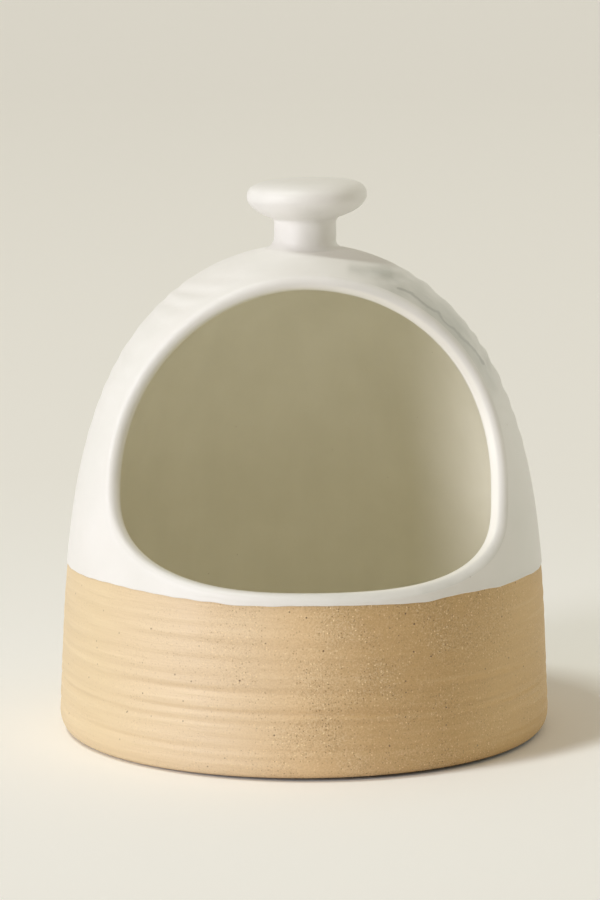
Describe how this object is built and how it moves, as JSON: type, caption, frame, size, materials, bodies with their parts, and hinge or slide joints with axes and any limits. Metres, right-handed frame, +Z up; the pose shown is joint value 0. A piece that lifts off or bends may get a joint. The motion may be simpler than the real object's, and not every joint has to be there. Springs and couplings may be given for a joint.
{
  "type": "salt pig",
  "caption": "Stoneware salt pig: bare-clay pot, white glazed dome with a wide open mouth and rounded lip, and a mushroom knob on the crown",
  "frame": {"origin": "centre of the foot ring, on the table", "axes": "+Z up through the knob, -Y out of the mouth, +X to the right as seen from in front of the mouth"},
  "size_m": [0.1307, 0.1308, 0.1464],
  "materials": {
    "bare_clay": "matte, fine sandy grain with small dark specks",
    "white_glaze": "satin gloss, soft throwing waves",
    "cream_glaze": "satin, a few fine specks"
  },
  "bodies": {
    "root": {"base_pot": "bare_clay", "dome_shell": "bare_clay", "mouth_lip": "bare_clay", "knob": "bare_clay", "outer_glaze": "white_glaze", "lip_glaze": "white_glaze", "inner_glaze": "cream_glaze"}
  },
  "joints": []
}
